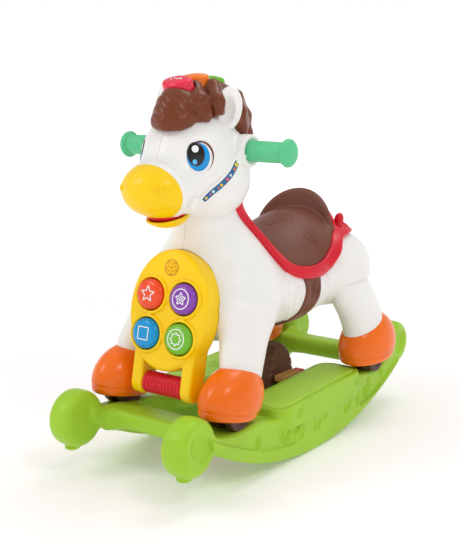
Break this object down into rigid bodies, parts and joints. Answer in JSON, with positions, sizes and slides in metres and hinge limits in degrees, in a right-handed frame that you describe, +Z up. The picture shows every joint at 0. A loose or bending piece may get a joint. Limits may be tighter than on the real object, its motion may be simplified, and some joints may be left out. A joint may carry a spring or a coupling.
{
  "type": "rocking horse",
  "caption": "Toddler's plastic rocking horse: a wheeled pony with saddle, grip handles and an activity panel, parked on a curved rocker base with footrests.",
  "frame": {"origin": "middle of the footprint, on the surface the rockers stand on", "axes": "+X to the horse's left, -Y the way it faces, +Z up"},
  "size_m": [0.293, 0.6226, 0.5456],
  "materials": {
    "lime_plastic": "satin moulded",
    "dock_brown": "satin moulded",
    "steel": "turned pin",
    "latch_tan": "satin moulded",
    "latch_crimson": "gloss",
    "white_shell": "satin blow-moulded shell",
    "orange_hoof": "satin gloss",
    "wheel_brown": "satin",
    "yellow_plastic": "satin gloss",
    "circuit_board": "solder mask",
    "black_plastic": "fine texture",
    "hair_brown": "satin moulded locks",
    "handle_green": "satin grip",
    "crimson_plastic": "satin gloss",
    "saddle_brown": "fine leather grain",
    "button_red": "gloss",
    "button_purple": "gloss",
    "button_blue": "gloss",
    "button_green": "gloss",
    "mane_red": "gloss",
    "mane_orange": "gloss"
  },
  "bodies": {
    "rocker_base": {"rocker_rail_left": "lime_plastic", "rocker_rail_right": "lime_plastic", "footrest_left": "lime_plastic", "footrest_right": "lime_plastic", "bumper_front_left": "lime_plastic", "bumper_front_right": "lime_plastic", "bumper_rear_left": "lime_plastic", "bumper_rear_right": "lime_plastic", "front_crossbar": "lime_plastic", "rear_crossbar": "lime_plastic", "dock_bridge": "dock_brown", "latch_pin": "steel"},
    "horse": {"body_shell_left": "white_shell", "body_shell_right": "white_shell", "rear_leg_left": "white_shell", "rear_leg_right": "white_shell", "hoof_front_left": "orange_hoof", "hoof_front_right": "orange_hoof", "hoof_rear_left": "orange_hoof", "hoof_rear_right": "orange_hoof", "axle_front_left": "steel", "axle_front_right": "steel", "axle_rear_left": "steel", "axle_rear_right": "steel", "panel_housing": "yellow_plastic", "roller_axle": "steel", "circuit_board": "circuit_board", "speaker": "black_plastic", "battery_box": "black_plastic", "head_shell_left": "white_shell", "head_shell_right": "white_shell", "muzzle": "yellow_plastic", "lower_lip": "yellow_plastic", "mane_cap": "hair_brown", "ear_left": "white_shell", "ear_right": "white_shell", "bridle_left": "white_shell", "bridle_right": "white_shell", "handle_left": "handle_green", "handle_right": "handle_green", "handle_bar": "steel", "saddle_blanket": "crimson_plastic", "saddle_seat": "saddle_brown", "girth_strap": "saddle_brown"},
    "latch_lever": {"latch_lever": "latch_tan"},
    "latch_button": {"latch_button": "latch_crimson"},
    "wheel_front_left": {"wheel_front_left": "wheel_brown"},
    "wheel_front_right": {"wheel_front_right": "wheel_brown"},
    "wheel_rear_left": {"wheel_rear_left": "wheel_brown"},
    "wheel_rear_right": {"wheel_rear_right": "wheel_brown"},
    "panel_button_upper_right": {"panel_button_upper_right": "button_red"},
    "panel_button_upper_left": {"panel_button_upper_left": "button_purple"},
    "panel_button_lower_right": {"panel_button_lower_right": "button_blue"},
    "panel_button_lower_left": {"panel_button_lower_left": "button_green"},
    "mane_button_front": {"mane_button_front": "mane_red"},
    "mane_button_middle": {"mane_button_middle": "mane_orange"},
    "mane_button_rear": {"mane_button_rear": "button_green"},
    "spin_roller": {"spin_roller": "crimson_plastic"}
  },
  "joints": [
    {"name": "horse_lift", "type": "slide", "parent": "rocker_base", "child": "horse", "axis": [0, 0, 1], "range_m": [0, 0.12]},
    {"name": "wheel_spin_front_left", "type": "hinge", "parent": "horse", "child": "wheel_front_left", "pos_m": [0.095, -0.17775, 0.1], "axis": [1, 0, 0], "continuous": true},
    {"name": "wheel_spin_front_right", "type": "hinge", "parent": "horse", "child": "wheel_front_right", "pos_m": [-0.095, -0.17775, 0.1], "axis": [1, 0, 0], "continuous": true},
    {"name": "wheel_spin_rear_left", "type": "hinge", "parent": "horse", "child": "wheel_rear_left", "pos_m": [0.107, 0.17725, 0.1], "axis": [1, 0, 0], "continuous": true},
    {"name": "wheel_spin_rear_right", "type": "hinge", "parent": "horse", "child": "wheel_rear_right", "pos_m": [-0.107, 0.17725, 0.1], "axis": [1, 0, 0], "continuous": true},
    {"name": "roller_spin", "type": "hinge", "parent": "horse", "child": "spin_roller", "pos_m": [0, -0.19366, 0.12479], "axis": [1, 0, 0], "continuous": true},
    {"name": "press_panel_upper_right", "type": "slide", "parent": "horse", "child": "panel_button_upper_right", "axis": [0, 0.978, -0.2085], "range_m": [0, 0.004], "stiffness_N_per_m": 900},
    {"name": "press_panel_upper_left", "type": "slide", "parent": "horse", "child": "panel_button_upper_left", "axis": [0, 0.978, -0.2085], "range_m": [0, 0.004], "stiffness_N_per_m": 900},
    {"name": "press_panel_lower_right", "type": "slide", "parent": "horse", "child": "panel_button_lower_right", "axis": [0, 0.978, -0.2085], "range_m": [0, 0.004], "stiffness_N_per_m": 900},
    {"name": "press_panel_lower_left", "type": "slide", "parent": "horse", "child": "panel_button_lower_left", "axis": [0, 0.978, -0.2085], "range_m": [0, 0.004], "stiffness_N_per_m": 900},
    {"name": "press_mane_front", "type": "slide", "parent": "horse", "child": "mane_button_front", "axis": [0, 0.4078, -0.9131], "range_m": [0, 0.003], "stiffness_N_per_m": 900, "springref_m": -0.0006},
    {"name": "press_mane_middle", "type": "slide", "parent": "horse", "child": "mane_button_middle", "axis": [0, 0.1197, -0.9928], "range_m": [0, 0.003], "stiffness_N_per_m": 900, "springref_m": -0.0006},
    {"name": "press_mane_rear", "type": "slide", "parent": "horse", "child": "mane_button_rear", "axis": [0, -0.2474, -0.9689], "range_m": [0, 0.003], "stiffness_N_per_m": 900, "springref_m": -0.0006},
    {"name": "latch_tip", "type": "hinge", "parent": "rocker_base", "child": "latch_lever", "pos_m": [0.035, 0.04825, 0.081], "axis": [-1, 0, 0], "range_deg": [0, 9], "stiffness_Nm_per_rad": 0.6, "springref_deg": -2.86},
    {"name": "press_latch_button", "type": "slide", "parent": "latch_lever", "child": "latch_button", "axis": [0, 0, -1], "range_m": [0, 0.0025], "stiffness_N_per_m": 600, "springref_m": -0.0006}
  ]
}
